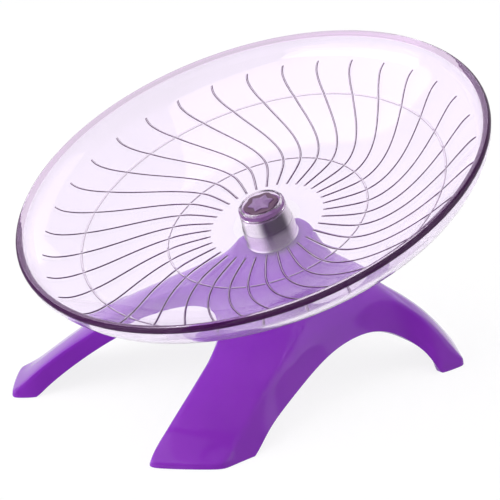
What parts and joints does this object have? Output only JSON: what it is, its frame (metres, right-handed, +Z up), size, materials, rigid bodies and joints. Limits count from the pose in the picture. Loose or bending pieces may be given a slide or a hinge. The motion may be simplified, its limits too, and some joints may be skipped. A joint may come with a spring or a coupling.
{
  "type": "hamster exercise wheel",
  "caption": "Tilted saucer wheel for a hamster: a clear swirl-ribbed dish with a rolled lip spins on ball bearings above a splayed four-legged stand.",
  "frame": {"origin": "on the ground, under the middle of the saucer's rim", "axes": "+Z up; the saucer leans towards -Y; the stand is the same on its -X and +X sides"},
  "size_m": [0.1798, 0.1644, 0.1156],
  "materials": {
    "clear_saucer": "clear gloss with a faint lavender tint",
    "purple_stand": "gloss",
    "purple_cap": "gloss",
    "silver_sleeve": "satin",
    "bearing_steel": "ground",
    "cage_brass": "plain",
    "post_steel": "turned",
    "fastener_steel": "bright zinc plated"
  },
  "bodies": {
    "base": {"stand": "purple_stand", "spindle": "post_steel", "lower_inner_race": "bearing_steel", "race_spacer": "post_steel", "upper_inner_race": "bearing_steel", "retaining_washer": "fastener_steel", "retaining_screw": "fastener_steel", "nut_washer": "fastener_steel", "spindle_nut": "fastener_steel"},
    "wheel": {"saucer": "clear_saucer", "hub_cap": "purple_cap", "bearing_sleeve": "silver_sleeve", "lower_outer_race": "bearing_steel", "lower_upper_shield": "bearing_steel", "lower_lower_shield": "bearing_steel", "upper_outer_race": "bearing_steel", "upper_upper_shield": "bearing_steel", "upper_lower_shield": "bearing_steel"},
    "lower_ball_set": {"lower_cage": "cage_brass", "lower_ball_1": "bearing_steel", "lower_ball_2": "bearing_steel", "lower_ball_3": "bearing_steel", "lower_ball_4": "bearing_steel", "lower_ball_5": "bearing_steel", "lower_ball_6": "bearing_steel", "lower_ball_7": "bearing_steel"},
    "upper_ball_set": {"upper_cage": "cage_brass", "upper_ball_1": "bearing_steel", "upper_ball_2": "bearing_steel", "upper_ball_3": "bearing_steel", "upper_ball_4": "bearing_steel", "upper_ball_5": "bearing_steel", "upper_ball_6": "bearing_steel", "upper_ball_7": "bearing_steel"}
  },
  "joints": [
    {"name": "saucer_spin", "type": "hinge", "parent": "base", "child": "wheel", "pos_m": [0, 0.00997, 0.0557], "axis": [0, -0.4051, 0.9143], "continuous": true},
    {"name": "lower_ball_orbit", "type": "hinge", "parent": "base", "child": "lower_ball_set", "pos_m": [0, 0.00997, 0.0557], "axis": [0, -0.4051, 0.9143], "continuous": true},
    {"name": "upper_ball_orbit", "type": "hinge", "parent": "base", "child": "upper_ball_set", "pos_m": [0, 0.00997, 0.0557], "axis": [0, -0.4051, 0.9143], "continuous": true}
  ],
  "couplings": [
    {"joint": "lower_ball_orbit", "follows": "saucer_spin", "ratio": 0.58333},
    {"joint": "upper_ball_orbit", "follows": "saucer_spin", "ratio": 0.58333}
  ]
}
